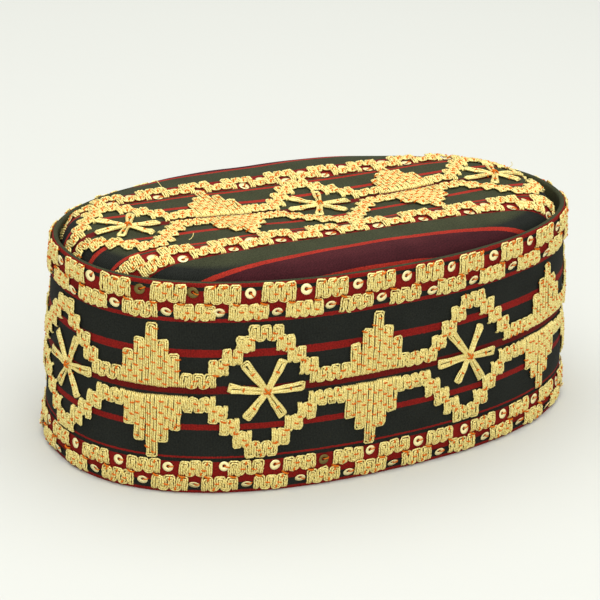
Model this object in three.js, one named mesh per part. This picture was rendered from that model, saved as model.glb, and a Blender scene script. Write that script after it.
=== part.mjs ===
import * as THREE from "three";

// A songkok: a stiff upright side band round an oval, with a soft padded crown sewn inside its rim.
// Millimetres, +Z up. The cap rests on the hem of its band, +X is the long way and -Y the front.

// Outside of the side band, which is a little wider at the hem than at the rim
const RIM_LENGTH = 224;
const RIM_WIDTH = 130.3;
const HEM_LENGTH = 229.8;
const HEM_WIDTH = 135.8;
const RIM_HEIGHT = 86;

// Fullness of the oval: 2 is a true ellipse, and more fills out its corners
const RIM_FULLNESS = 2.2;
const HEM_FULLNESS = 2.3;

// Share by which the +X end is narrower than the middle, as a head is
const END_NARROWING = 0.052;

// Cloth: the band is folded over its stiffening, and the crown is padded
const BAND_WALL = 2.4;
const HEM_ROUND = 0.4;
const CROWN_WALL = 2;
const SEAM_GAP = 0.3;

// Section of the crown from its seam to the flat of the top. inset is the way in from the inner
// face of the band, rise the height over the rim, and pull the share of the end groove at that row.
const CROWN_SECTION = [
  { inset: 0, rise: -9, pull: 0 },
  { inset: 0.5, rise: -5, pull: 0.4 },
  { inset: 1.2, rise: -1.8, pull: 0.8 },
  { inset: 3, rise: 1.2, pull: 1 },
  { inset: 6.3, rise: 3.3, pull: 1 },
  { inset: 11, rise: 4.5, pull: 0.8 },
  { inset: 18, rise: 5.1, pull: 0.35 },
  { inset: 28, rise: 5.1, pull: 0 },
];

// At its two ends the crown draws away from the rim and leaves a groove, wider at the narrow end
const WIDE_END_GROOVE = 1.5;
const NARROW_END_GROOVE = 4;
const END_GROOVE_POWER = 6;

// The middle of the crown sags, fading out at these half sizes
const SAG = { depth: 2.7, halfLength: 72, halfWidth: 36 };

// Soft swells and dents of the padding: centre, half sizes and height of each
const PADDING = [
  { x: -20, y: -50, halfLength: 46, halfWidth: 11, height: 0.7 },
  { x: 40, y: -42, halfLength: 22, halfWidth: 10, height: 0.5 },
  { x: 22, y: 48, halfLength: 34, halfWidth: 12, height: 0.8 },
  { x: -34, y: 50, halfLength: 24, halfWidth: 10, height: 0.3 },
  { x: -62, y: -30, halfLength: 16, halfWidth: 14, height: -0.5 },
  { x: -52, y: -55, halfLength: 26, halfWidth: 9, height: -1.2 },
];

// Fineness of the faceted surfaces
const SEGMENTS = 96;
const RIM_STEPS = 6;
const WALL_STEPS = 3;
const SHOULDER_STEPS = 10;
const FLAT_RINGS = [0.75, 0.5, 0.25];

const angles = Array.from({ length: SEGMENTS }, (_, index) => (2 * Math.PI * index) / SEGMENTS);

function power(value, exponent) {
  return Math.sign(value) * Math.abs(value) ** exponent;
}

// Half length, half width and fullness of the band's outer oval at a height
function ovalAt(height) {
  const share = height / RIM_HEIGHT;
  return {
    halfLength: THREE.MathUtils.lerp(HEM_LENGTH, RIM_LENGTH, share) / 2,
    halfWidth: THREE.MathUtils.lerp(HEM_WIDTH, RIM_WIDTH, share) / 2,
    fullness: THREE.MathUtils.lerp(HEM_FULLNESS, RIM_FULLNESS, share),
  };
}

// Point of the oval at an angle, moved inwards along the oval's normal
function ovalPoint(oval, angle, inset) {
  const { halfLength, halfWidth, fullness } = oval;
  const along = power(Math.cos(angle), 2 / fullness);
  const across = power(Math.sin(angle), 2 / fullness);
  const width = halfWidth * (1 - END_NARROWING * along);
  const point = new THREE.Vector2(halfLength * along, width * across);
  const steepness = power(across, fullness - 1) / width;
  const lean = steepness * across * halfWidth * END_NARROWING / halfLength;
  const normal = new THREE.Vector2(power(along, fullness - 1) / halfLength + lean, steepness);
  return point.addScaledVector(normal.normalize(), -inset);
}

// Ring of points round the band at a height, inset from its outer face
function ring(height, inset) {
  const oval = ovalAt(height);
  return angles.map((angle) => {
    const flat = ovalPoint(oval, angle, inset);
    return new THREE.Vector3(flat.x, flat.y, height);
  });
}

// Closed surface through a loop of rings; a ring of one point is a pole
function skin(rings) {
  const positions = rings.flat().flatMap((point) => point.toArray());
  const starts = [];
  let count = 0;
  for (const points of rings) {
    starts.push(count);
    count += points.length;
  }
  const indices = [];
  const addFace = (first, second, third) => {
    if (first !== second && second !== third && third !== first) {
      indices.push(first, second, third);
    }
  };
  rings.forEach((points, lower) => {
    const upper = (lower + 1) % rings.length;
    if (points.length === 1 && rings[upper].length === 1) {
      return;
    }
    for (let side = 0; side < SEGMENTS; side += 1) {
      const corner = (level, step) => starts[level] + ((side + step) % rings[level].length);
      addFace(corner(lower, 0), corner(lower, 1), corner(upper, 1));
      addFace(corner(lower, 0), corner(upper, 1), corner(upper, 0));
    }
  });
  const geometry = new THREE.BufferGeometry();
  geometry.setAttribute("position", new THREE.Float32BufferAttribute(positions, 3));
  geometry.setIndex(indices);
  geometry.computeVertexNormals();
  return geometry;
}

// Section of the band as a closed loop of insets and heights: outer face, rolled rim, inner face, hem
function bandSection() {
  const rimRadius = BAND_WALL / 2;
  const rimCentre = RIM_HEIGHT - rimRadius;
  const section = [];
  for (let step = 0; step <= WALL_STEPS; step += 1) {
    section.push({ inset: 0, height: THREE.MathUtils.lerp(HEM_ROUND, rimCentre, step / WALL_STEPS) });
  }
  for (let step = 1; step < RIM_STEPS; step += 1) {
    const turn = (Math.PI * step) / RIM_STEPS;
    section.push({
      inset: rimRadius * (1 - Math.cos(turn)),
      height: rimCentre + rimRadius * Math.sin(turn),
    });
  }
  for (let step = WALL_STEPS; step >= 0; step -= 1) {
    section.push({
      inset: BAND_WALL,
      height: THREE.MathUtils.lerp(HEM_ROUND, rimCentre, step / WALL_STEPS),
    });
  }
  section.push({ inset: BAND_WALL - HEM_ROUND, height: 0 });
  section.push({ inset: HEM_ROUND, height: 0 });
  return section;
}

function makeSideBand() {
  const rings = bandSection().map(({ inset, height }) => ring(height, inset));
  const cloth = new THREE.MeshStandardMaterial({ color: 0x2a2b26, roughness: 0.9, metalness: 0 });
  const band = new THREE.Mesh(skin(rings), cloth);
  band.name = "side_band";
  return band;
}

// Height that the sag and the swells of the padding add at a place on the crown
function paddingHeight(x, y) {
  const reach = Math.max(0, 1 - (x / SAG.halfLength) ** 2 - (y / SAG.halfWidth) ** 2);
  const swells = PADDING.map(({ x: midX, y: midY, halfLength, halfWidth, height }) => {
    const distance = ((x - midX) / halfLength) ** 2 + ((y - midY) / halfWidth) ** 2;
    return height * Math.exp(-distance);
  });
  return swells.reduce((sum, swell) => sum + swell, 0) - SAG.depth * reach ** 2;
}

// Smooth section of the crown at a depth under its upper face, as spaced rows
function crownSection(depth) {
  const shape = new THREE.SplineCurve(CROWN_SECTION.map(({ inset, rise }) => new THREE.Vector2(inset, rise)));
  const pulls = new THREE.SplineCurve(CROWN_SECTION.map(({ inset, pull }) => new THREE.Vector2(inset, pull)));
  const rows = [];
  for (let step = 0; step <= SHOULDER_STEPS; step += 1) {
    const share = step / SHOULDER_STEPS;
    const place = shape.getPoint(share);
    const slope = shape.getTangent(share);
    rows.push({
      inset: place.x + slope.y * depth,
      rise: place.y - slope.x * depth,
      pull: pulls.getPoint(share).y,
    });
  }
  return rows;
}

// One face of the crown, ring by ring from the seam to its middle
function crownFace(depth) {
  const innerFace = BAND_WALL + SEAM_GAP;
  const oval = ovalAt(RIM_HEIGHT);
  const rings = crownSection(depth).map(({ inset, rise, pull }) => angles.map((angle) => {
    const along = Math.cos(angle);
    const depthAtEnd = along < 0 ? WIDE_END_GROOVE : NARROW_END_GROOVE;
    const groove = pull * depthAtEnd * Math.abs(along) ** END_GROOVE_POWER;
    const flat = ovalPoint(oval, angle, innerFace + inset + groove);
    return new THREE.Vector3(flat.x, flat.y, RIM_HEIGHT + rise);
  }));
  const shoulder = rings[rings.length - 1];
  for (const share of FLAT_RINGS) {
    rings.push(shoulder.map(({ x, y, z }) => new THREE.Vector3(x * share, y * share, z)));
  }
  rings.push([new THREE.Vector3(0, 0, shoulder[0].z)]);
  for (const point of rings.flat()) {
    point.z += paddingHeight(point.x, point.y);
  }
  return rings;
}

function makeCrownTop() {
  const upper = crownFace(0);
  const under = crownFace(CROWN_WALL).reverse();
  const cloth = new THREE.MeshStandardMaterial({ color: 0x33382e, roughness: 0.92, metalness: 0 });
  const crown = new THREE.Mesh(skin([...upper, ...under]), cloth);
  crown.name = "crown_top";
  return crown;
}

const songkok = new THREE.Group();
songkok.name = "songkok";
songkok.add(makeSideBand(), makeCrownTop());

export default songkok;
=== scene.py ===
from collections import namedtuple

import bpy
import numpy as np
from mathutils import Matrix, Vector


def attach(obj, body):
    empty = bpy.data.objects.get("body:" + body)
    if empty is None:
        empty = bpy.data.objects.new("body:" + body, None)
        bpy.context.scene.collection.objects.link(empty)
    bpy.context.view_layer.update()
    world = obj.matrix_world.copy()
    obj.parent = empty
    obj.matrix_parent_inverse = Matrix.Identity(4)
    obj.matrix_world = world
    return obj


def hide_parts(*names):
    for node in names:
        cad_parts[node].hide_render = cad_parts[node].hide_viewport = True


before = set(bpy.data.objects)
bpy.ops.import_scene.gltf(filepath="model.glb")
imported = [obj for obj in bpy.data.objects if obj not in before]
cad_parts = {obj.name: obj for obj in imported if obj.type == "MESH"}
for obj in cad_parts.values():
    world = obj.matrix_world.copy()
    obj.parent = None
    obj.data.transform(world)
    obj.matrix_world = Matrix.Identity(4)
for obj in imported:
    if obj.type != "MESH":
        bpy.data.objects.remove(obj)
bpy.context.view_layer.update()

# The songkok's sizes, in millimetres and as the part's source has them
RIM_LENGTH, RIM_WIDTH = 224, 130.3
HEM_LENGTH, HEM_WIDTH = 229.8, 135.8
RIM_HEIGHT = 86
RIM_FULLNESS, HEM_FULLNESS = 2.2, 2.3
END_NARROWING = 0.052
BAND_WALL, HEM_ROUND = 2.4, 0.4
CROWN_WALL, SEAM_GAP = 2, 0.3

CrownRow = namedtuple("CrownRow", "inset rise pull")
CROWN_SECTION = [
    CrownRow(0, -9, 0),
    CrownRow(0.5, -5, 0.4),
    CrownRow(1.2, -1.8, 0.8),
    CrownRow(3, 1.2, 1),
    CrownRow(6.3, 3.3, 1),
    CrownRow(11, 4.5, 0.8),
    CrownRow(18, 5.1, 0.35),
    CrownRow(28, 5.1, 0),
]
WIDE_END_GROOVE, NARROW_END_GROOVE, END_GROOVE_POWER = 1.5, 4, 6
SAG_DEPTH, SAG_HALF_LENGTH, SAG_HALF_WIDTH = 2.7, 72, 36
RIPPLE = 0.55

Swell = namedtuple("Swell", "x y half_length half_width height")
PADDING = [
    Swell(-20, -50, 46, 11, 0.7),
    Swell(40, -42, 22, 10, 0.5),
    Swell(22, 48, 34, 12, 0.8),
    Swell(-34, 50, 24, 10, 0.3),
    Swell(-62, -30, 16, 14, -0.5),
    Swell(-52, -55, 26, 9, -1.2),
]

# The view of the photograph, in millimetres, degrees and pixels of its 600 x 600 frame
FRAME_PIXELS = 600
VIEW_AZIMUTH, VIEW_ELEVATION, VIEW_ROLL = -29.3, 22.0, 2.4
VIEW_DISTANCE = 950
FOCAL_PIXELS = 2285
AXIS_PIXEL = (313.8, 311.0)
SENSOR = 36

# Gold cord of three strands, laid up and down in loops, and the orange thread that ties it down
STRAND_RADIUS = 0.4
STRAND_OFFSETS, STRAND_LIFTS = (-0.7, 0, 0.7), (0.86, 1.1, 0.86)
LOOP_PITCH, TURN_SPREAD = 4.3, 0.95
TURN_REACH, TURN_BLUNT, TUCK_REACH, TURN_WANDER = 0.7, 0.35, 0.8, 0.26
ROOT_UNEVEN, TIP_UNEVEN, STRAND_WANDER, STRAND_BOUNCE = 0.14, 0.2, 0.12, 0.13
TIE_RADIUS, TIE_HALF_LENGTH, TIE_TOP, TIE_SUNK = 0.4, 1.15, 1.42, 0.05
TIE_ANGLE, TIE_UNEVEN, TIE_WANDER, JOINT_HALF_LENGTH = -0.14, 0.12, 0.3, 1.5
TIE_ARCH = np.array([0.25, 0.85, 1, 0.85, 0.25])
EYE_DEPTH, EYE_HALF_LENGTH, EYE_TOP, EYE_ANGLE = 1.3, 0.75, 1.45, np.pi / 2 - 0.3
TIE_ROW, TIE_STEP, TIE_ROW_START, TIE_ROW_END, TIE_ROW_SHIFT = 4.6, 2.7, 1.7, 1.4, 3
SEQUIN_RADIUS, SEQUIN_HOLE, SEQUIN_THICKNESS = 2.1, 0.7, 0.16
SEQUIN_TURNS, SEQUIN_DISH, DISH_START = 20, 0.3, 0.55
SEQUIN_LEAN, SEQUIN_TILT, SEQUIN_SIZES = 0.8, 0.07, 0.04
SEQUIN_STITCH_RADIUS, STITCH_SLANT, STITCH_WANDER = 0.27, 0.1, 0.35

# The band's cloth is lapped and sewn at the back; arcs are measured round its middle from the front
BAND_SEAM = 286
SEAM_LAP, SEAM_LAP_START, SEAM_LAP_RAMP, SEAM_LAP_EDGE = 0.7, 7, 4, 0.4
BAND_SWELL, BAND_SWELL_FADE = 0.16, 20

MM = 0.001
TEXTURE_UNIT, TEXTURE_SHIFT = 100, 7.31


def signed_power(value, exponent):
    return np.sign(value) * np.abs(value) ** exponent


def oval_place(angle, height, inset=0.0):
    """Points and outward normals, in plan, of the band's oval at angles and heights."""
    share = np.asarray(height) / RIM_HEIGHT
    half_length = (HEM_LENGTH + (RIM_LENGTH - HEM_LENGTH) * share) / 2
    half_width = (HEM_WIDTH + (RIM_WIDTH - HEM_WIDTH) * share) / 2
    fullness = HEM_FULLNESS + (RIM_FULLNESS - HEM_FULLNESS) * share
    along = signed_power(np.cos(angle), 2 / fullness)
    across = signed_power(np.sin(angle), 2 / fullness)
    width = half_width * (1 - END_NARROWING * along)
    steepness = signed_power(across, fullness - 1) / width
    lean = steepness * across * half_width * END_NARROWING / half_length
    normal = np.stack([signed_power(along, fullness - 1) / half_length + lean, steepness], -1)
    normal /= np.linalg.norm(normal, axis=-1, keepdims=True)
    point = np.stack([half_length * along, width * across], -1)
    return point - normal * np.asarray(inset)[..., None], normal


# Arc lengths round the middle of the band, from the front towards +X
arc_angles = np.linspace(-np.pi / 2, 1.5 * np.pi, 2881)
arc_points = oval_place(arc_angles, np.full_like(arc_angles, RIM_HEIGHT / 2))[0]
arc_lengths = np.concatenate([[0], np.cumsum(np.linalg.norm(np.diff(arc_points, axis=0), axis=1))])
GIRTH = arc_lengths[-1]


def angle_at(arc):
    return np.interp(np.mod(arc, GIRTH), arc_lengths, arc_angles)


def seam_lap(arc):
    """How far the cloth's lapped end stands out at the back seam."""
    past = np.mod(np.asarray(arc) - BAND_SEAM + GIRTH / 2, GIRTH) - GIRTH / 2
    ramp = np.clip((past + SEAM_LAP_START) / SEAM_LAP_RAMP, 0, 1)
    return SEAM_LAP * ramp * np.clip((SEAM_LAP_EDGE - past) / SEAM_LAP_EDGE, 0, 1)


def band_swell(arc, height):
    """Unevenness of the stiffened cloth, fading out at the hem."""
    turn = 2 * np.pi * np.asarray(arc) / GIRTH
    height = np.asarray(height)
    slow, quick = np.sin(5 * turn + 0.6), np.sin(9 * turn + 2.1) * np.cos(height / 21)
    fade = np.clip(height / BAND_SWELL_FADE, 0, 1)
    return BAND_SWELL * (slow + 0.7 * quick) * fade + seam_lap(arc)


def on_band(arc, height, lift=0.0):
    """Places on the outside of the band, with outward normals."""
    arc, height = np.broadcast_arrays(np.asarray(arc, float), np.asarray(height, float))
    flat, normal = oval_place(angle_at(arc), height, -(np.asarray(lift) + band_swell(arc, height)))
    place = np.concatenate([flat, height[..., None]], -1)
    return place, np.concatenate([normal, np.zeros_like(height)[..., None]], -1)


def smooth_rows(rows, steps):
    """Points of a smooth curve through rows of numbers."""
    rows = np.array(rows, float)
    spot = np.linspace(0, len(rows) - 1, steps)
    first = np.minimum(spot.astype(int), len(rows) - 2)
    share = (spot - first)[:, None]
    before, start = rows[np.maximum(first - 1, 0)], rows[first]
    end, after = rows[first + 1], rows[np.minimum(first + 2, len(rows) - 1)]
    bend, rush = (end - before) / 2, (after - start) / 2
    cubic = (2 * start - 2 * end + bend + rush) * share ** 3
    square = (-3 * start + 3 * end - 2 * bend - rush) * share ** 2
    return cubic + square + bend * share + start


# The crown's sections by angle, at even steps along the cloth from the flat of the top to the seam
CROWN_ANGLES, CLOTH_STEP, CLOTH_LENGTH, SECTION_POINTS = 1440, 0.25, 52, 85
FOOT_BATCH = 2000
SHOULDER = CROWN_SECTION[-1].inset
crown_angles = np.arange(CROWN_ANGLES) * 2 * np.pi / CROWN_ANGLES
crown_edge, crown_out = oval_place(
    crown_angles, np.full(CROWN_ANGLES, float(RIM_HEIGHT)), np.full(CROWN_ANGLES, BAND_WALL + SEAM_GAP)
)


def crown_sections():
    rows = smooth_rows(CROWN_SECTION, SECTION_POINTS)[::-1]
    made, lengths = [], []
    ends = np.where(np.cos(crown_angles) < 0, WIDE_END_GROOVE, NARROW_END_GROOVE)
    for groove in ends * np.abs(np.cos(crown_angles)) ** END_GROOVE_POWER:
        inset, rise = rows[:, 0] + rows[:, 2] * groove, rows[:, 1]
        way = np.concatenate([[0], np.cumsum(np.hypot(np.diff(inset), np.diff(rise)))])
        steps = np.arange(0, CLOTH_LENGTH, CLOTH_STEP)
        made.append(np.stack([np.interp(steps, way, inset), np.interp(steps, way, rise)], -1))
        lengths.append(way[-1])
    return np.array(made), np.array(lengths)


crown_rows, shoulder_lengths = crown_sections()


def padding_height(x, y):
    reach = np.maximum(0, 1 - (x / SAG_HALF_LENGTH) ** 2 - (y / SAG_HALF_WIDTH) ** 2)
    height = -SAG_DEPTH * reach ** 2
    for swell in PADDING:
        away = ((x - swell.x) / swell.half_length) ** 2 + ((y - swell.y) / swell.half_width) ** 2
        height = height + swell.height * np.exp(-away)
    return height


def cloth_ripple(x, y):
    """Small unevenness of the crown's soft cloth."""
    lengthwise = 0.22 * np.sin(x / 9.1 + 0.8 * np.sin(y / 13))
    crosswise = 0.2 * np.sin(y / 6.7 + 1.3 * np.sin(x / 21 + 1))
    slanting = 0.12 * np.sin((x + y) / 4.3)
    return (lengthwise + crosswise + slanting) * RIPPLE


def crown_foot(flat):
    """Where flat cloth lies against the seam: place round it, as a fractional step, and way in."""
    step = np.zeros(len(flat))
    inward = np.zeros(len(flat))
    for start in range(0, len(flat), FOOT_BATCH):
        batch = slice(start, start + FOOT_BATCH)
        part = flat[batch]
        nearest = ((part[:, None, :] - crown_edge[None]) ** 2).sum(-1).argmin(1)
        ahead = crown_edge[(nearest + 1) % CROWN_ANGLES] - crown_edge[nearest - 1]
        offset = part - crown_edge[nearest]
        step[batch] = nearest + 2 * (offset * ahead).sum(1) / (ahead ** 2).sum(1)
        inward[batch] = -(offset * crown_out[nearest]).sum(1)
    return step, inward


def between(table, step):
    """Rows of a table that goes round the crown, at fractional steps."""
    low = np.floor(step).astype(int)
    share = (step - low).reshape((-1,) + (1,) * (table.ndim - 1))
    return table[low % CROWN_ANGLES] * (1 - share) + table[(low + 1) % CROWN_ANGLES] * share


def crown_place(flat):
    """Places on the crown of points of its flat cloth."""
    flat = np.asarray(flat, float)
    step, inward = crown_foot(flat)
    way = np.clip((SHOULDER - inward) / CLOTH_STEP, 0, crown_rows.shape[1] - 1.001)
    low = way.astype(int)
    share = (way - low)[:, None]
    around = np.floor(step).astype(int) % CROWN_ANGLES
    row = crown_rows[around, low] * (1 - share) + crown_rows[around, low + 1] * share
    over = between(crown_edge, step) - between(crown_out, step) * row[:, :1]
    plan = np.where((inward < SHOULDER)[:, None], over, flat)
    rise = np.where(inward < SHOULDER, row[:, 1], CROWN_SECTION[-1].rise)
    x, y = plan.T
    return np.stack([x, y, RIM_HEIGHT + rise + padding_height(x, y) + cloth_ripple(x, y)], -1)


def on_crown(along, across, lift=0.0):
    """Places over the crown's cloth, with normals, from the cloth's flat measures."""
    along, across = np.broadcast_arrays(np.asarray(along, float), np.asarray(across, float))
    flat = np.stack([along.ravel(), across.ravel()], -1)
    reach = 0.4
    place = crown_place(flat)
    right = crown_place(flat + [reach, 0]) - place
    ahead = crown_place(flat + [0, reach]) - place
    normal = np.cross(right, ahead)
    normal /= np.maximum(np.linalg.norm(normal, axis=1, keepdims=True), 1e-9)
    lifts = np.broadcast_to(np.asarray(lift, float), along.shape).ravel()
    place = place + normal * lifts[:, None]
    return place.reshape(along.shape + (3,)), normal.reshape(along.shape + (3,))


# Meshes from arrays

Shape = namedtuple("Shape", "points faces texture")


def joined(shapes):
    """One shape from several whose faces have as many corners."""
    count, faces = 0, []
    for shape in shapes:
        faces.append(shape.faces + count)
        count += len(shape.points)
    points = np.concatenate([shape.points for shape in shapes])
    return Shape(points, np.concatenate(faces), np.concatenate([shape.texture for shape in shapes]))


def add_piece(name, shape, material, smooth=True):
    mesh = bpy.data.meshes.new(name)
    mesh.from_pydata((shape.points * MM).tolist(), [], shape.faces.tolist())
    layer = mesh.uv_layers.new(name="pattern")
    layer.data.foreach_set("uv", shape.texture.astype(np.float32).ravel())
    mesh.polygons.foreach_set("use_smooth", np.full(len(shape.faces), smooth))
    mesh.materials.append(material)
    mesh.update()
    piece = bpy.data.objects.new(name, mesh)
    bpy.context.scene.collection.objects.link(piece)
    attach(piece, "root")
    return piece


def tubes(places, normals, radius, sides, closed):
    """Round cords along rows of places; open ones are capped. Texture runs along, in mm, and around."""
    count, steps = places.shape[:2]
    if closed:
        ahead = np.roll(places, -1, 1) - np.roll(places, 1, 1)
    else:
        ahead = np.gradient(places, axis=1)
    ahead /= np.maximum(np.linalg.norm(ahead, axis=-1, keepdims=True), 1e-9)
    aside = np.cross(ahead, normals)
    aside /= np.maximum(np.linalg.norm(aside, axis=-1, keepdims=True), 1e-9)
    out = np.cross(aside, ahead)
    turn = 2 * np.pi * np.arange(sides) / sides
    ring = np.cos(turn)[:, None] * out[:, :, None, :] + np.sin(turn)[:, None] * aside[:, :, None, :]
    reach = np.broadcast_to(np.asarray(radius, float), (count, steps))[:, :, None, None]
    points = (places[:, :, None, :] + ring * reach).reshape(-1, 3)
    spans = steps if closed else steps - 1
    first = np.arange(spans)[:, None]
    side = np.arange(sides)[None, :]
    second = (first + 1) % steps
    other = (side + 1) % sides
    corners = [first * sides + side, first * sides + other, second * sides + other, second * sides + side]
    faces = np.stack(corners, -1).reshape(-1, 4)
    if closed:
        gaps = np.roll(places, -1, 1) - places
    else:
        gaps = np.diff(places, axis=1)
    way = np.concatenate([np.zeros((count, 1)), np.cumsum(np.linalg.norm(gaps, axis=-1), 1)], 1)
    way = way + (np.arange(count) * TEXTURE_SHIFT % TEXTURE_UNIT)[:, None]
    start = np.broadcast_to(way[:, :-1, None], (count, spans, sides))
    end = np.broadcast_to(way[:, 1:, None], (count, spans, sides))
    low = np.broadcast_to(side / sides, (count, spans, sides))
    high = np.broadcast_to((side + 1) / sides, (count, spans, sides))
    texture = np.stack([start, low, start, high, end, high, end, low], -1).reshape(count, -1, 4, 2)
    if not closed:
        cap = np.array([[0, step + 2, step + 1, step] for step in range(1, sides - 2, 2)])
        tail = (steps - 1) * sides + cap[:, ::-1]
        faces = np.concatenate([faces, cap, tail])
        ends = np.zeros((count, 2 * len(cap), 4, 2))
        texture = np.concatenate([texture, ends], 1)
    faces = (faces[None] + (np.arange(count) * steps * sides)[:, None, None]).reshape(-1, 4)
    return Shape(points, faces, texture.reshape(-1, 2))


# A loop's line in shares: a hook in from the loop before, up, round, down, and a hook out to the next.
# share goes up the loop, ahead and aside are in half gaps, and side points to the line's right.
LoopLine = namedtuple("LoopLine", "share ahead aside side_ahead side_aside spread lift start free")


def loop_line():
    hook, bend = np.radians([0, 30, 60]), np.radians([25, 65, 115, 155])
    up, flat = np.linspace(0, 1, 5), np.zeros(5)
    back = hook[::-1]
    over, round_off = TURN_REACH * np.sin(bend) ** TURN_BLUNT, signed_power(np.cos(bend), 0.4)
    under = -TURN_REACH * np.cos(hook) ** TURN_BLUNT
    wide, tall = signed_power(np.cos(bend), 0.5), np.sin(bend) ** 0.5
    runs = [3, 5, 4, 5, 3]
    return LoopLine(
        share=np.concatenate([0 * hook, up, 1 + 0 * bend, up[::-1], 0 * back]),
        ahead=np.concatenate([under, flat, over, flat, under[::-1]]),
        aside=np.concatenate([np.sin(hook) - 2, flat - 1, -round_off, flat + 1, 2 - np.sin(back)]),
        side_ahead=np.concatenate([-np.cos(hook), flat, -tall, flat, -np.cos(back)]),
        side_aside=np.concatenate([np.sin(hook), flat + 1, wide, flat - 1, -np.sin(back)]),
        spread=np.repeat([TURN_SPREAD, 1, TURN_SPREAD, 1, TURN_SPREAD], runs),
        lift=np.repeat([0.8, 1.05, 0.85, 1.05, 0.8], runs),
        start=np.concatenate([[1, 0.6, 0.2], np.zeros(17)]),
        free=np.sin(np.pi * np.linspace(0, 1, 20)) ** 0.5,
    )


LOOP = loop_line()
Loop = namedtuple("Loop", "along across turn low high root_gap tip_gap first last spread")
Tie = namedtuple("Tie", "along across angle half_length top")
Sequin = namedtuple("Sequin", "along across tilt dull")


class Needlework:
    """Embroidery on one surface: cord loops, ties and sequins in its own along and across measures."""

    def __init__(self, surface, seed, sequin_lift=0.7, sunk=0.0, eyes=0.35, stand=0.0):
        self.surface = surface
        self.sequin_lift = sequin_lift
        self.sunk = sunk
        self.eyes = eyes
        self.stand = stand
        self.chance = np.random.default_rng(seed)
        self.loops = []
        self.ties = []
        self.sequins = []

    def tie(self, along, across, angle=TIE_ANGLE, half_length=TIE_HALF_LENGTH, top=TIE_TOP):
        angle += self.chance.normal(0, TIE_UNEVEN)
        self.ties.append(Tie(along, across, angle, half_length, top))

    def block(self, left, right, low, high, flip=False, rows=False):
        """Loops side by side from low to high, tied half way, or in rows, and at their turns."""
        count = max(1, round((right - left) / LOOP_PITCH))
        pitch = (right - left) / count
        gap = pitch / 4
        margin = (TURN_REACH + STRAND_OFFSETS[-1] * TURN_SPREAD) * gap + STRAND_RADIUS
        phase = self.chance.random()
        root, tip, turn = (high, low, np.pi) if flip else (low, high, 0)
        inward = np.sign(root - tip)
        for number in range(count):
            middle = left + (number + 0.5) * pitch
            uneven = [TURN_WANDER / (high - low), ROOT_UNEVEN, TIP_UNEVEN]
            lean, short, long = self.chance.normal(0, uneven)
            ends = [number == 0, number == count - 1][::-1 if flip else 1]
            span = (margin + short, high - low - margin + long)
            self.loops.append(Loop(middle, root, turn + lean, *span, gap, gap, *ends, 1))
            if self.chance.random() < self.eyes:
                self.tie(middle, tip + EYE_DEPTH * inward, EYE_ANGLE, EYE_HALF_LENGTH, EYE_TOP)
            if number and self.chance.random() < self.eyes:
                joint = middle - 2 * gap
                self.tie(joint, root - EYE_DEPTH * inward, EYE_ANGLE, EYE_HALF_LENGTH, EYE_TOP)
            if rows:
                for passing in (0, 1):
                    stagger = (2 * number + passing) * TIE_STEP + TIE_ROW_SHIFT * phase
                    first = low + TIE_ROW_START + stagger % TIE_ROW
                    for height in np.arange(first, high - TIE_ROW_END, TIE_ROW):
                        self.tie(middle + (2 * passing - 1) * gap, height)
            elif number:
                self.tie(middle - gap, (low + high) / 2 + self.chance.normal(0, TIE_WANDER))

    def strand_lines(self):
        """Places and normals along the strands of every loop. A block's two ends are tucked under."""
        loops = Loop(*np.array(self.loops, float).T[:, :, None])
        gap = loops.root_gap + (loops.tip_gap - loops.root_gap) * LOOP.share
        first, last = loops.first * (LOOP.start > 0), loops.last * (LOOP.start[::-1] > 0)
        tucked = first + last
        aside = gap * (LOOP.aside * (1 - tucked) - first + last)
        ahead = loops.low + (loops.high - loops.low) * LOOP.share
        ahead = ahead + gap * LOOP.ahead * (1 + TUCK_REACH * tucked)
        side_aside = LOOP.side_aside * (1 - tucked) + first - last
        side_ahead = LOOP.side_ahead * (1 - tucked)
        dive = loops.first * LOOP.start + loops.last * LOOP.start[::-1]
        far = LOOP.ahead * np.sign(np.cos(loops.turn)) > 0
        lines = []
        for offset, height in zip(STRAND_OFFSETS, STRAND_LIFTS):
            loose = self.chance.normal(0, [[[STRAND_WANDER]], [[STRAND_BOUNCE]]], (2, *gap.shape)) * LOOP.free
            off = gap * offset * LOOP.spread * loops.spread + loose[0]
            x, y = aside + side_aside * off, ahead + side_ahead * off
            along = loops.along + x * np.cos(loops.turn) - y * np.sin(loops.turn)
            across = loops.across + x * np.sin(loops.turn) + y * np.cos(loops.turn)
            lines.append((along, across, height * LOOP.lift + loose[1] - dive + self.stand * far))
        along, across, lift = (np.concatenate(part) for part in zip(*lines))
        return self.surface(along, across, lift)

    def gold(self):
        places, normals = self.strand_lines()
        return tubes(places, normals, STRAND_RADIUS, 4, False)

    def thread(self):
        """The ties, each a short arch over the cord."""
        ties = Tie(*np.array(self.ties).T[:, :, None])
        step = np.linspace(-1, 1, len(TIE_ARCH))
        along = ties.along + np.cos(ties.angle) * ties.half_length * step
        across = ties.across + np.sin(ties.angle) * ties.half_length * step
        lift = (ties.top - self.sunk) * TIE_ARCH
        places, normals = self.surface(along, across, lift)
        return tubes(places, normals, TIE_RADIUS, 4, False)


BorderRow = namedtuple("BorderRow", "low high half_width tilt shift")
BLOCK_UNEVEN, SEQUIN_UNEVEN, SEQUIN_WANDER, CORNER_ANGLE = 0.25, 0.3, 0.5, -0.2


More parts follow.
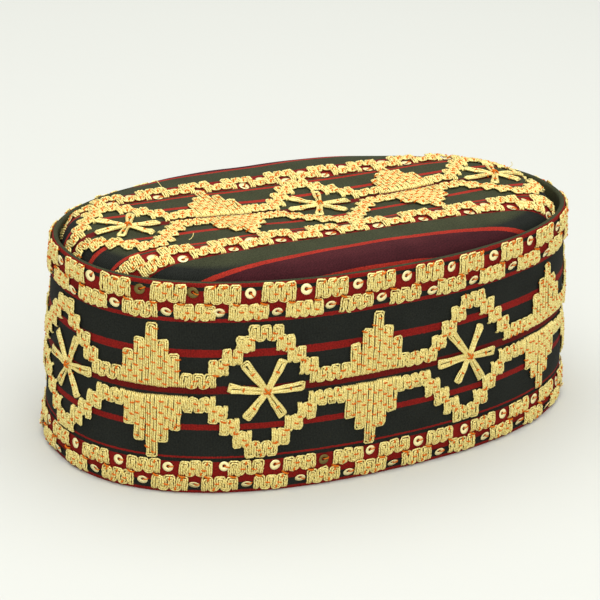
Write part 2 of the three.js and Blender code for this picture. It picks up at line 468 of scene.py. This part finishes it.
def border(work, centres, rows, reaches, dull=()):
    """Two rows of blocks set like bricks, with a sequin in each gap and ties where blocks meet."""
    middles = (centres[1:] + centres[:-1]) / 2
    for row, blocks, gaps, reach in zip(rows, (centres, middles), (middles, centres), reaches):
        for centre in blocks:
            left, right = np.clip((centre - row.half_width, centre + row.half_width), *reach)
            shift = work.chance.normal(0, BLOCK_UNEVEN, 2)
            if right - left > LOOP_PITCH / 2:
                work.block(left + shift[0], right + shift[1], row.low, row.high)
        for gap in gaps:
            if reach[0] + SEQUIN_RADIUS < gap < reach[1] - SEQUIN_RADIUS:
                is_dull = any(abs(gap - place) < SEQUIN_RADIUS * 2 for place in dull)
                height = (row.low + row.high) / 2 + work.chance.normal(row.shift, SEQUIN_UNEVEN)
                place = gap + work.chance.normal(0, SEQUIN_WANDER)
                work.sequins.append(Sequin(place, height, row.tilt, is_dull))
    joint = max(rows[0].low, rows[1].low)
    inside = max(reach[0] for reach in reaches), min(reach[1] for reach in reaches)
    for corner in (centres[:-1] + middles) / 2, (centres[1:] + middles) / 2:
        for along in corner:
            if inside[0] < along < inside[1]:
                work.tie(along, joint, CORNER_ANGLE, JOINT_HALF_LENGTH)


Step = namedtuple("Step", "along across")
DIAMOND_STEPS = [Step(17.5, 9.3), Step(12.6, 14.2), Step(7.6, 19.3)]
SQUARE_HALF, SQUARE_TALL = 3.7, 3.6
HEAD_HALF, HEAD_LOW, HEAD_HIGH = 6.7, 20.2, 27.4
Tier = namedtuple("Tier", "half_width top")
PALMETTE = [Tier(11.3, 15.9), Tier(6.8, 21.3), Tier(2.4, 27.4)]
BAR_START, BAR_LOW, BAR_HIGH = 18.4, 1.4, 8.2
STEP_WANDER, STEP_UNEVEN = 0.25, 0.2

# An outline's blocks, with its ends on the bar and the head; a tie lies half way between each two
OUTLINE = [Step(BAR_START + 1.5, BAR_HIGH - 3), *DIAMOND_STEPS, Step(3.5, HEAD_LOW + 3.5)]


def half_diamond(work, along, centre, side, scale=1):
    """Upper or lower half of a diamond's outline: stepped squares and a block at its head."""
    low, high = sorted((centre + side * scale * HEAD_LOW, centre + side * scale * HEAD_HIGH))
    work.block(along - HEAD_HALF * scale, along + HEAD_HALF * scale, low, high, side < 0)
    half, tall = SQUARE_HALF * scale, SQUARE_TALL * scale
    for hand in (1, -1):
        for step in DIAMOND_STEPS:
            middle = along + hand * step.along * scale + work.chance.normal(0, STEP_WANDER)
            height = centre + side * step.across * scale + work.chance.normal(0, STEP_UNEVEN)
            work.block(middle - half, middle + half, height - tall, height + tall, side < 0)
        for here, there in zip(OUTLINE, OUTLINE[1:]):
            spot = along + hand * scale * (here.along + there.along) / 2
            height = centre + side * scale * (here.across + there.across) / 2
            work.tie(spot, height, TIE_ANGLE, JOINT_HALF_LENGTH)


Arm = namedtuple("Arm", "angle length")
ArmCord = namedtuple("ArmCord", "root_gap tip_gap spread")
ARM_START, ARM_TIP, ARM_UNEVEN, ARM_WANDER = 0.6, 1.4, 0.4, 3
ARM_TIE_SHARES, ARM_TIE_HALF_LENGTH, INNER_TIE_CHANCE = (0.3, 0.62), 1.45, 0.3
KNOT_ANGLES, KNOT_HALF_LENGTH, KNOT_TOP = (0.5, 2.3), 1.9, 2.5
BAND_ARM, CROWN_ARM = ArmCord(0.55, 1.12, 0.76), ArmCord(0.45, 1.12, 0.5)
STAR_ARMS = [Arm(2, 14.8), Arm(66, 14), Arm(131, 15), Arm(181, 15.6), Arm(235, 12.6), Arm(301, 12.8)]


def star(work, along, centre, cord, scale):
    """Six looped arms, each tied half way, and a knot in the middle."""
    for arm in STAR_ARMS:
        angle = np.radians(arm.angle + work.chance.normal(0, ARM_WANDER))
        length = arm.length * scale + work.chance.normal(0, ARM_UNEVEN)
        turn = angle - np.pi / 2
        span = ARM_START, length - ARM_TIP, cord.root_gap, cord.tip_gap
        work.loops.append(Loop(along, centre, turn, *span, 1, 1, cord.spread))
        for share in ARM_TIE_SHARES:
            spot = np.array([along, centre]) + length * share * np.array([np.cos(angle), np.sin(angle)])
            if share > 0.5 or work.chance.random() < INNER_TIE_CHANCE:
                work.tie(*spot, angle + np.pi / 2, ARM_TIE_HALF_LENGTH)
    for angle in KNOT_ANGLES:
        work.tie(along, centre, angle, KNOT_HALF_LENGTH, KNOT_TOP)


def half_palmette(work, along, centre, side, bar, scale=1):
    """A stepped half palmette on its bar, which goes from one diamond to the next."""
    low, high = sorted((centre + side * BAR_LOW, centre + side * BAR_HIGH * scale))
    widest = PALMETTE[0].half_width * scale
    for left, right in ((bar[0], along - widest), (along + widest, bar[1])):
        if right - left > LOOP_PITCH / 2:
            work.block(left, right, low, high, side < 0)
    for tier, within in zip(PALMETTE, [*(tier.half_width for tier in PALMETTE[1:]), 0]):
        low, high = sorted((centre + side * BAR_LOW, centre + side * tier.top * scale))
        outer, inner = tier.half_width * scale, within * scale
        spans = [(-outer, -inner), (inner, outer)] if within else [(-outer, outer)]
        for left, right in spans:
            work.block(along + left, along + right, low, high, side < 0, True)


def chain(outlines, fillings, stars, halves, centre, ends, cord, scale=1):
    """Diamonds with palmettes between them. halves has the diamonds' places above and below."""
    for along in stars:
        star(outlines, along, centre, cord, scale)
    for side, places in zip((1, -1), halves):
        for along in places:
            half_diamond(outlines, along, centre, side, scale)
        apart = np.diff(places)
        before, after = places[0] - apart[0], places[-1] + apart[-1]
        for first, second in zip([before, *places], [*places, after]):
            start, stop = first + BAR_START * scale, second - BAR_START * scale
            bar = np.clip((start, stop), *ends)
            middle = (first + second) / 2
            widest = PALMETTE[0].half_width * scale
            if ends[0] < middle - widest and middle + widest < ends[1]:
                half_palmette(fillings, middle, centre, side, bar, scale)
            elif bar[1] - bar[0] > LOOP_PITCH / 2:
                low, high = sorted((centre + side * BAR_LOW, centre + side * BAR_HIGH * scale))
                fillings.block(*bar, low, high, side < 0)


# Embroidery of the band: places are arcs, heights are from the hem. Hidden blocks keep the pitch.
CENTRE_LINE = 41.9
BAND_STARS = [-235, -139.5, -54.3, 36.2, 131, 221]
BAND_DIAMONDS = [
    np.array([-233, -143, -55.7, 37.8, 136, 224]),
    np.array([-230, -140.6, -55.7, 35, 128.5, 222]),
]
BAND_TOP_BLOCKS = [-137.3, -115.1, -93.9, -73.5, -51.9, -30.3, -8.2, 15, 36.7, 60, 83.6]
BAND_FOOT_BLOCKS = [-144, -121.3, -100.6, -80.8, -61.3, -40.1, -19.4, 0.5, 22, 44.6, 67, 89]
BORDER_PITCH = 21.7
BAND_TOP_ROWS = [BorderRow(77.5, 85.7, 6.8, 0, 0.5), BorderRow(70.9, 77.8, 7.5, 0.4, 0.5)]
BAND_FOOT_ROWS = [BorderRow(7.2, 14, 6.7, 0, 0.5), BorderRow(0.8, 7.4, 6.8, 0.5, 0.5)]
DULL_ON_TOP, DULL_ON_FOOT = (-104.5, -83.7), (-29.8,)
RIM_TIE_ASIDE, RIM_TIE_HEIGHT, RIM_TIE_SLANT, RIM_TIE_TOP = 1, 84.4, 0.6, 1.25
band_start = BAND_SEAM - GIRTH
band_reach = (band_start + 5, BAND_SEAM - 5)


def extended(places, reach):
    """Block places, carried on at the pitch to both ends of the reach."""
    before = np.arange(places[0] - BORDER_PITCH, reach[0] - BORDER_PITCH, -BORDER_PITCH)[::-1]
    after = np.arange(places[-1] + BORDER_PITCH, reach[1] + BORDER_PITCH, BORDER_PITCH)
    return np.concatenate([before, places, after])


band_top, band_foot = Needlework(on_band, 11), Needlework(on_band, 12)
border(band_top, extended(BAND_TOP_BLOCKS, band_reach), BAND_TOP_ROWS, [band_reach] * 2, DULL_ON_TOP)
border(band_foot, extended(BAND_FOOT_BLOCKS, band_reach), BAND_FOOT_ROWS, [band_reach] * 2, DULL_ON_FOOT)
for loop in band_top.loops:
    if loop.across == BAND_TOP_ROWS[0].low:
        band_top.tie(loop.along + RIM_TIE_ASIDE, RIM_TIE_HEIGHT, RIM_TIE_SLANT, top=RIM_TIE_TOP)
band_diamonds, band_palmettes = Needlework(on_band, 13), Needlework(on_band, 14)
chain(band_diamonds, band_palmettes, BAND_STARS, BAND_DIAMONDS, CENTRE_LINE, band_reach, BAND_ARM)

# Embroidery of the crown, along its length and across from its middle
CROWN_SCALE = 0.935
CROWN_MIDDLE = 1.0
CROWN_STARS = [-84.4, 1.4, 86]
CROWN_BLOCK_HALVES = (6.8, 7.2)
CROWN_MARGIN = 0.7
CROWN_SEQUIN_SHIFT, CROWN_SEQUIN_LIFT = -1.3, 0.05
TURN_STAND = 0.35
CrownBorder = namedtuple("CrownBorder", "side first pitch rows")
CROWN_BORDERS = [
    CrownBorder(-1, -67.4, 21.2, [(33, 38.9), (27.2, 33.4)]),
    CrownBorder(1, -59, 19.7, [(31, 36.2), (26.4, 31.4)]),
]


def crown_reach(across):
    """How far the embroidery goes along the crown at a distance across, left and right."""
    along = np.linspace(-130, 130, 521)
    flat = np.stack([along, np.full_like(along, across)], -1)
    step, inward = crown_foot(flat)
    room = inward + between(shoulder_lengths[:, None], step)[:, 0] - SHOULDER
    inside = along[room > CROWN_MARGIN]
    return inside[0], inside[-1]


crown_borders = Needlework(on_crown, 21, CROWN_SEQUIN_LIFT, TIE_SUNK, 1, TURN_STAND)
for part in CROWN_BORDERS:
    rows, reaches = [], []
    for edges, half in zip(part.rows, CROWN_BLOCK_HALVES):
        low, high = sorted(CROWN_MIDDLE + part.side * edge for edge in edges)
        rows.append(BorderRow(low, high, half, 0, CROWN_SEQUIN_SHIFT))
        ends = crown_reach(low), crown_reach(high)
        reaches.append((max(end[0] for end in ends), min(end[1] for end in ends)))
    centres = part.first + part.pitch * np.arange(-4, 12)
    border(crown_borders, centres, rows, reaches)

crown_field = Needlework(on_crown, 22, 0, TIE_SUNK, 1, TURN_STAND)
crown_ends = crown_reach(CROWN_MIDDLE)
crown_halves = [np.array(CROWN_STARS)] * 2
chain(
    crown_field, crown_field, CROWN_STARS, crown_halves, CROWN_MIDDLE, crown_ends, CROWN_ARM, CROWN_SCALE
)


# Loose ends of single strands that stand off the crown: foot, way they point, length and rise
LooseEnd = namedtuple("LooseEnd", "along across turn length rise")
LOOSE_ENDS = [LooseEnd(-53, 37.5, 80, 3, 2), LooseEnd(-69, -22, 10, 4, 1.5), LooseEnd(98, 10, 30, 10, 6)]
LOOSE_RADIUS, LOOSE_FOOT, LOOSE_CURL = 0.16, 1.2, 0.5


def loose_end_shape():
    share = np.linspace(0, 1, 9)
    ends = LooseEnd(*np.array(LOOSE_ENDS, float).T[:, :, None])
    turn = np.radians(ends.turn) + LOOSE_CURL * share
    along = ends.along + ends.length * share * np.cos(turn)
    across = ends.across + ends.length * share * np.sin(turn)
    places, normals = on_crown(along, across, LOOSE_FOOT + ends.rise * share ** 1.5)
    return tubes(places, normals, LOOSE_RADIUS, 4, False)


# Cloth

def grid_faces(rows, columns):
    """Faces of a grid whose columns go round."""
    row = np.arange(rows - 1)[:, None]
    column = np.arange(columns)[None, :]
    other = (column + 1) % columns
    low, high = row * columns, (row + 1) * columns
    return np.stack([low + column, low + other, high + other, high + column], -1).reshape(-1, 4)


def band_cloth_shape(columns=480):
    """The folded cloth of the band as a closed wall: outer face, rolled rim, inner face and hem."""
    radius = BAND_WALL / 2
    rim = RIM_HEIGHT - radius
    turn = np.linspace(0, np.pi, 9)[1:-1]
    walls = np.linspace(HEM_ROUND, rim, 40)
    inner = np.linspace(rim, HEM_ROUND, 12)
    inset = np.concatenate([0 * walls, radius * (1 - np.cos(turn)), 0 * inner + BAND_WALL])
    height = np.concatenate([walls, rim + radius * np.sin(turn), inner])
    inset = np.concatenate([[HEM_ROUND], inset, [BAND_WALL - HEM_ROUND, HEM_ROUND]])
    height = np.concatenate([[0], height, [0, 0]])
    way = np.concatenate([[0], np.cumsum(np.hypot(np.diff(inset), np.diff(height)))])
    arcs = band_start + GIRTH * np.arange(columns + 1) / columns
    arc = np.broadcast_to(arcs[:-1], (len(height) - 1, columns))
    tall = np.broadcast_to(height[:-1, None], arc.shape)
    outside = np.clip(1 - inset[:-1, None] / BAND_WALL, 0, 1)
    flat, _ = oval_place(angle_at(arc), tall, inset[:-1, None] - band_swell(arc, tall) * outside)
    points = np.concatenate([flat, tall[..., None]], -1).reshape(-1, 3)
    rows = len(height) - 1
    faces = np.concatenate([grid_faces(rows, columns), closing_faces(rows, columns)])
    left, right = np.meshgrid(np.arange(columns), np.arange(rows))
    start, end = arcs[left], arcs[left + 1]
    low, high = way[right], way[right + 1]
    texture = np.stack([start, low, end, low, end, high, start, high], -1).reshape(-1, 2)
    return Shape(points, faces, texture / TEXTURE_UNIT)


def closing_faces(rows, columns):
    """Faces from a grid's last row back to its first."""
    column = np.arange(columns)
    other = (column + 1) % columns
    last = (rows - 1) * columns
    return np.stack([last + column, last + other, other, column], -1)


def cap_faces(start, count):
    """Faces over a ring of points, facing the way its order turns."""
    steps = np.arange(1, count - 2, 2)
    return start + np.stack([0 * steps, steps, steps + 1, steps + 2], -1)


def crown_cloth_shape(columns=288, shoulder_rows=36, flat_rows=22):
    """The padded crown as a closed shell; its texture is the place on the flat cloth."""
    picked = np.arange(columns) * CROWN_ANGLES / columns
    edge, out = between(crown_edge, picked), between(crown_out, picked)
    lengths = between(shoulder_lengths[:, None], picked)[:, 0]
    flats = []
    for share in np.linspace(1, 0, shoulder_rows):
        flats.append(edge - out * (SHOULDER - lengths * share)[:, None])
    for share in np.linspace(1, 0.02, flat_rows)[1:]:
        flats.append(flats[shoulder_rows - 1] * share)
    flats = np.array(flats)
    rows, half = len(flats), len(flats) * columns
    top, normals = on_crown(flats[..., 0], flats[..., 1])
    under = (top - normals * CROWN_WALL)[::-1]
    points = np.concatenate([top, under]).reshape(-1, 3)
    faces = np.concatenate([
        grid_faces(rows, columns), grid_faces(rows, columns) + half, closing_faces(2 * rows, columns),
        cap_faces(half - columns, columns), cap_faces(half, columns)[:, ::-1],
    ])
    spots = np.concatenate([flats, flats[::-1]]).reshape(-1, 2)
    return Shape(points, faces, spots[faces.ravel()] / TEXTURE_UNIT)


def sequin_shape(work):
    """Sequins with a hole, a little dished, some leaning on the row above, and their stitches."""
    sequins = Sequin(*np.array(work.sequins, float).T)
    count = len(work.sequins)
    place, normal = work.surface(sequins.along, sequins.across, work.sequin_lift)
    over = work.surface(sequins.along, sequins.across + 0.5, work.sequin_lift)[0] - place
    over /= np.linalg.norm(over, axis=1, keepdims=True)
    tilt = sequins.tilt[:, None]
    normal = normal * np.cos(tilt) - over * np.sin(tilt)
    normal = normal + work.chance.normal(0, SEQUIN_TILT, normal.shape)
    normal /= np.linalg.norm(normal, axis=1, keepdims=True)
    side = np.cross(over, normal)
    side /= np.linalg.norm(side, axis=1, keepdims=True)
    up = np.cross(normal, side)
    place = place + normal * SEQUIN_LEAN * np.sin(tilt)
    turns = SEQUIN_TURNS
    turn = 2 * np.pi * np.arange(turns) / turns
    profile = [
        (SEQUIN_HOLE, SEQUIN_THICKNESS), (DISH_START * SEQUIN_RADIUS, SEQUIN_THICKNESS),
        (SEQUIN_RADIUS, SEQUIN_DISH + SEQUIN_THICKNESS), (SEQUIN_RADIUS, SEQUIN_DISH),
        (DISH_START * SEQUIN_RADIUS, 0), (SEQUIN_HOLE, 0),
    ]
    radius, height = np.array(profile).T
    size = 1 + work.chance.normal(0, SEQUIN_SIZES, count)
    spoke = side[:, None] * np.cos(turn)[:, None] + up[:, None] * np.sin(turn)[:, None]
    wide = (radius * size[:, None])[:, :, None, None]
    points = place[:, None, None] + spoke[:, None] * wide + normal[:, None, None] * height[:, None, None]
    rows = len(profile)
    ring = np.concatenate([grid_faces(rows, turns), closing_faces(rows, turns)])
    faces = (ring[None] + (np.arange(count) * rows * turns)[:, None, None]).reshape(-1, 4)
    texture = np.stack([np.repeat(sequins.dull, len(ring) * 4), np.zeros(count * len(ring) * 4)], -1)
    shape = Shape(points.reshape(-1, 3), faces, texture)
    line = np.array([0, 0.25, 0.55, 0.85, 1.1]) * SEQUIN_RADIUS
    rise = np.array([-0.1, 0.5, 0.62, 0.7, 0.1])
    slant = work.chance.normal(STITCH_SLANT, STITCH_WANDER, count)
    aim = side * np.cos(slant)[:, None] + up * np.sin(slant)[:, None]
    path = place[:, None] + aim[:, None] * line[:, None] + normal[:, None] * rise[:, None]
    stitches = tubes(path, np.broadcast_to(normal[:, None], path.shape), SEQUIN_STITCH_RADIUS, 4, False)
    return shape, stitches


# Finishes

class Value:
    """A number that changes over a surface; Python's operators add its Math nodes."""

    def __init__(self, finish, socket):
        self.finish = finish
        self.socket = socket

    def math(self, operation, *others):
        values = {number: value for number, value in enumerate((self, *others))}
        return self.finish.node("ShaderNodeMath", {"operation": operation}, values)

    def reflected(self, operation, other):
        return self.finish.node("ShaderNodeMath", {"operation": operation}, {0: other, 1: self})

    def __add__(self, other):
        return self.math("ADD", other)

    def __sub__(self, other):
        return self.math("SUBTRACT", other)

    def __mul__(self, other):
        return self.math("MULTIPLY", other)

    def __truediv__(self, other):
        return self.math("DIVIDE", other)

    def __rsub__(self, other):
        return self.reflected("SUBTRACT", other)

    __radd__ = __add__
    __rmul__ = __mul__


class Finish:
    """A material with one shader, and the nodes that feed it."""

    def __init__(self, name, **constants):
        self.material = bpy.data.materials.new(name)
        self.material.use_nodes = True
        self.tree = self.material.node_tree
        self.shader = self.tree.nodes["Principled BSDF"]
        self.set(**constants)

    def set(self, **values):
        for name, value in values.items():
            self.feed(self.shader.inputs[name.replace("_", " ").title().replace("Ior", "IOR")], value)

    def feed(self, socket, value):
        if isinstance(value, Value):
            self.tree.links.new(value.socket, socket)
        elif socket.type == "RGBA":
            socket.default_value = (*value[:3], 1)
        else:
            socket.default_value = value

    def node(self, kind, settings=None, sockets=None, output=0):
        made = self.tree.nodes.new(kind)
        for name, value in (settings or {}).items():
            if name == "stops":
                self.set_stops(made.color_ramp, value)
            else:
                setattr(made, name, value)
        for name, value in (sockets or {}).items():
            self.feed(made.inputs[name], value)
        return Value(self, made.outputs[output])

    def set_stops(self, ramp, stops):
        ramp.interpolation = "CONSTANT"
        for number, (place, colour) in enumerate(stops):
            if number < 2:
                stop = ramp.elements[number]
                stop.position = place
            else:
                stop = ramp.elements.new(place)
            stop.color = (*colour, 1)

    def mix(self, factor, first, second):
        return self.node("ShaderNodeMix", {"data_type": "RGBA"}, {0: factor, 6: first, 7: second}, 2)

    def tint(self, colour, factor):
        return self.node("ShaderNodeVectorMath", {"operation": "SCALE"}, {0: colour, "Scale": factor})

    def pattern_place(self):
        spot = self.node("ShaderNodeUVMap", {"uv_map": "pattern"})
        apart = self.node("ShaderNodeSeparateXYZ", None, {0: spot})
        first = Value(self, apart.socket.node.outputs[0])
        second = Value(self, apart.socket.node.outputs[1])
        return spot, first, second

    def noise(self, place, scale, detail=2.0):
        return self.node("ShaderNodeTexNoise", None, {"Vector": place, "Scale": scale, "Detail": detail})

    def bump(self, height, distance, strength=1.0):
        sockets = {"Height": height, "Distance": distance, "Strength": strength}
        self.set(normal=self.node("ShaderNodeBump", None, sockets))


def tone(red, green, blue):
    """A linear colour from the 0 to 255 values that a screen shows."""
    shown = np.array([red, green, blue]) / 255
    return tuple(np.where(shown > 0.04045, ((shown + 0.055) / 1.055) ** 2.4, shown / 12.92).tolist())


BLACK, GREEN = tone(31, 33, 29), tone(56, 59, 40)
RED, DEEP_RED, BRIGHT_RED = tone(124, 23, 18), tone(96, 18, 15), tone(154, 42, 30)
MAROON = tone(72, 29, 33)

# Stripes of the band's cloth, from the hem up and over the rim: where each begins, and its colour
BAND_STRIPES = [
    (0, RED), (1.5, BLACK), (4.6, RED), (12.7, BLACK), (14.2, RED), (15.5, BLACK), (26.4, RED),
    (28.8, BLACK), (40.7, DEEP_RED), (43.2, BLACK), (43.7, DEEP_RED), (44.3, BLACK), (56.2, RED),
    (58.6, BLACK), (70.3, RED), (71.7, BLACK), (74, RED), (82.4, BLACK), (84.3, RED), (85.5, GREEN),
]
BAND_CLOTH_REACH = 200

# Stripes of the crown's cloth, from its centre line outwards
CROWN_STRIPE_MIDDLE, FAR_STRIPE_SHARE = 1.4, 1.07
CROWN_STRIPES = [
    (0, DEEP_RED), (1.6, GREEN), (12.4, BRIGHT_RED), (14.5, GREEN), (25, BRIGHT_RED), (26.3, GREEN),
    (27.5, RED), (39.4, GREEN), (50.3, BRIGHT_RED), (52.2, MAROON), (63, BRIGHT_RED), (64.6, MAROON),
]
CROWN_CLOTH_REACH = 100

# Painted shade on the crown's cloth: its stripes are painted lighter where the cloth lies flat and faces up,
# and darker where it rolls over to the seam
ROLL_SHADE_TONES = {GREEN: BLACK, MAROON: tone(60, 22, 27)}
PAINTED_LIT_FROM, PAINTED_LIT_TO = 0.86, 0.985


RIB_PITCH, PICK_PITCH, WEAVE_DEPTH = 0.62, 0.4, 0.00012


def woven(name, stripes, reach, mirrored):
    """Fine ribbed cloth: stripes by the way across, ribs and yarn flecks, and on the crown painted shade
    where the cloth turns from facing up.
    """
    cloth = Finish(name, roughness=0.9, specular_ior_level=0.12)
    spot, along, across = cloth.pattern_place()
    along, across = along * TEXTURE_UNIT, across * TEXTURE_UNIT
    waver = (cloth.noise(spot, 60) - 0.5) * 0.5
    if mirrored:
        beyond = across - CROWN_STRIPE_MIDDLE
        across = (beyond * FAR_STRIPE_SHARE).math("MAXIMUM", beyond * -1)
    place = (across + waver) / reach
    stops = [(start / reach, colour) for start, colour in stripes]
    cloth_colour = cloth.node("ShaderNodeValToRGB", {"stops": stops}, {0: place})
    # Painted shade: on the crown each stripe is painted in a darker tone as the cloth's normal tips away from
    # straight up, as over the roll to the seam
    if mirrored:
        shaded_stripes = [(start, ROLL_SHADE_TONES.get(colour, colour)) for start, colour in stops]
        shaded_stripes = cloth.node("ShaderNodeValToRGB", {"stops": shaded_stripes}, {0: place})
        normal = cloth.node("ShaderNodeNewGeometry", None, None, "Normal")
        upward = cloth.node("ShaderNodeSeparateXYZ", None, {0: normal}, 2)
        painted_lit_share = cloth.node("ShaderNodeMapRange", {"interpolation_type": "SMOOTHSTEP"}, {
            "Value": upward, "From Min": PAINTED_LIT_FROM, "From Max": PAINTED_LIT_TO,
        })
        cloth_colour = cloth.mix(painted_lit_share, shaded_stripes, cloth_colour)
    ribs = (along * (2 * np.pi / RIB_PITCH)).math("SINE")
    picks = (across * (2 * np.pi / PICK_PITCH)).math("SINE")
    flecks = cloth.noise(spot, 420, 3)
    worn = cloth.noise(spot, 9, 4)
    heather = cloth.noise(spot, 150, 3)
    mottle = (flecks - 0.5) * 1.2 + (heather - 0.5) * 1.7 + (worn - 0.5) * 0.6
    shade = 1 + ribs * 0.1 + picks * 0.06 + mottle
    cloth.set(base_color=cloth.tint(cloth_colour, shade))
    cloth.bump(ribs * 0.35 + picks * 0.2 + flecks * 0.6, WEAVE_DEPTH, 0.8)
    return cloth.material


CORD_TWIST, CORD_DEPTH, THREAD_TWIST, THREAD_DEPTH = 1.1, 0.0001, 0.4, 0.00008


def gold_cord_finish():
    """Twisted metallic strands with painted highlight and shade: pale where the foil would face the light and
    at random glints, brown in the grooves.
    """
    gold = Finish("gold_cord", metallic=0.3, specular_ior_level=0.6)
    spot, along, around = gold.pattern_place()
    twist = ((along / CORD_TWIST + around) * (2 * np.pi)).math("SINE") * 0.5 + 0.5
    glint = gold.noise(spot, 1.1, 3)
    # Painted highlight and shade: the twist and the glint noise paint the colour pale on the ridges and
    # glints and brown in the grooves
    shine = twist * 0.3 + (glint - 0.5) * 2.2 + 0.5
    gold.set(base_color=gold.mix(shine, tone(202, 158, 52), tone(254, 244, 164)))
    gold.set(roughness=0.48 - glint * 0.25)
    gold.bump(twist, CORD_DEPTH, 0.6)
    return gold.material


def orange_thread_finish():
    thread = Finish("orange_thread", roughness=0.7, specular_ior_level=0.2)
    _, along, around = thread.pattern_place()
    twist = ((along / THREAD_TWIST + around) * (2 * np.pi)).math("SINE") * 0.5 + 0.5
    # Painted shade: the thread's colour is painted darker along the grooves of its twist
    thread.set(base_color=thread.mix(twist, tone(190, 82, 2), tone(224, 118, 12)))
    thread.bump(twist, THREAD_DEPTH, 0.6)
    return thread.material


def sequin_finish():
    """Polished discs, most pale gold and a few dull olive."""
    disc = Finish("sequin", metallic=0.35, roughness=0.3)
    _, chance, _ = disc.pattern_place()
    dull = chance.math("GREATER_THAN", 0.5)
    disc.set(base_color=disc.mix(dull, tone(255, 242, 178), tone(110, 94, 36)))
    return disc.material


band_cloth_look = woven("band_cloth", BAND_STRIPES, BAND_CLOTH_REACH, False)
crown_cloth_look = woven("crown_cloth", CROWN_STRIPES, CROWN_CLOTH_REACH, True)
gold_look = gold_cord_finish()
thread_look = orange_thread_finish()
sequin_look = sequin_finish()

# Pieces
band_cloth = add_piece("band_cloth", band_cloth_shape(), band_cloth_look)
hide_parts("side_band")
crown_cloth = add_piece("crown_cloth", crown_cloth_shape(), crown_cloth_look)
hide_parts("crown_top")

works = {
    "band_top_border": band_top,
    "band_foot_border": band_foot,
    "band_diamonds": band_diamonds,
    "band_palmettes": band_palmettes,
    "crown_borders": crown_borders,
    "crown_field": crown_field,
}
threads = {"band": [], "crown": []}
sequins = {"band": [], "crown": []}
for name, work in works.items():
    part = name.split("_")[0]
    cords = [work.gold()]
    if name == "crown_field":
        cords.append(loose_end_shape())
    add_piece(f"{name}_gold", joined(cords), gold_look)
    threads[part].append(work.thread())
    if work.sequins:
        discs, stitches = sequin_shape(work)
        sequins[part].append(discs)
        threads[part].append(stitches)
for part in ("band", "crown"):
    add_piece(f"{part}_ties", joined(threads[part]), thread_look)
    add_piece(f"{part}_sequins", joined(sequins[part]), sequin_look)


# Floor, light and camera

FLOOR_TONE, SKY_TONE, SKY_STRENGTH = (205, 206, 201), (248, 249, 244), 0.74
FLOOR_HALF = 4
Lamp = namedtuple("Lamp", "name place size power")
LAMPS = [Lamp("key", (0.05, 0.1, 1.5), 2, 23.5), Lamp("front", (-0.5, -1.3, 1.0), 1.2, 10.5)]
LAMP_AIM = (0, 0, 0.05)


def add_floor():
    floor_mesh = bpy.data.meshes.new("floor")
    half = FLOOR_HALF
    corners = [(-half, -half, 0), (half, -half, 0), (half, half, 0), (-half, half, 0)]
    floor_mesh.from_pydata(corners, [], [(0, 1, 2, 3)])
    floor = bpy.data.objects.new("floor", floor_mesh)
    bpy.context.scene.collection.objects.link(floor)
    paper = Finish("floor", base_color=tone(*FLOOR_TONE), roughness=0.9)
    floor_mesh.materials.append(paper.material)


def add_light(lamp):
    area = bpy.data.lights.new(lamp.name, "AREA")
    area.size = lamp.size
    area.energy = lamp.power
    light = bpy.data.objects.new(lamp.name, area)
    bpy.context.scene.collection.objects.link(light)
    light.location = lamp.place
    light.rotation_euler = (Vector(LAMP_AIM) - Vector(lamp.place)).to_track_quat("-Z", "Y").to_euler()


def add_world():
    world = bpy.data.worlds.new("studio")
    world.use_nodes = True
    sky = world.node_tree.nodes["Background"]
    sky.inputs["Color"].default_value = (*tone(*SKY_TONE), 1)
    sky.inputs["Strength"].default_value = SKY_STRENGTH
    bpy.context.scene.world = world


def add_camera():
    azimuth, elevation, roll = np.radians([VIEW_AZIMUTH, VIEW_ELEVATION, VIEW_ROLL])
    level = np.cos(elevation)
    back = Vector((np.sin(azimuth) * level, -np.cos(azimuth) * level, np.sin(elevation)))
    centre = Vector((0, 0, RIM_HEIGHT / 2)) * MM
    place = centre + back * VIEW_DISTANCE * MM
    right = (-back).cross(Vector((0, 0, 1))).normalized()
    up = right.cross(-back)
    right, up = right * np.cos(roll) + up * np.sin(roll), up * np.cos(roll) - right * np.sin(roll)
    scale = VIEW_DISTANCE * MM / FOCAL_PIXELS
    off_x, off_y = AXIS_PIXEL[0] - FRAME_PIXELS / 2, AXIS_PIXEL[1] - FRAME_PIXELS / 2
    aim = centre - right * off_x * scale + up * off_y * scale
    back = (place - aim).normalized()
    right = up.cross(back).normalized()
    up = back.cross(right)
    lens = bpy.data.cameras.new("camera")
    lens.sensor_width = SENSOR
    lens.lens = SENSOR * FOCAL_PIXELS / FRAME_PIXELS
    camera = bpy.data.objects.new("camera", lens)
    bpy.context.scene.collection.objects.link(camera)
    turn = Matrix((right, up, back)).transposed()
    camera.matrix_world = Matrix.Translation(place) @ turn.to_4x4()
    bpy.context.scene.camera = camera


add_floor()
for lamp in LAMPS:
    add_light(lamp)
add_world()
add_camera()
bpy.context.scene.view_settings.view_transform = "Standard"
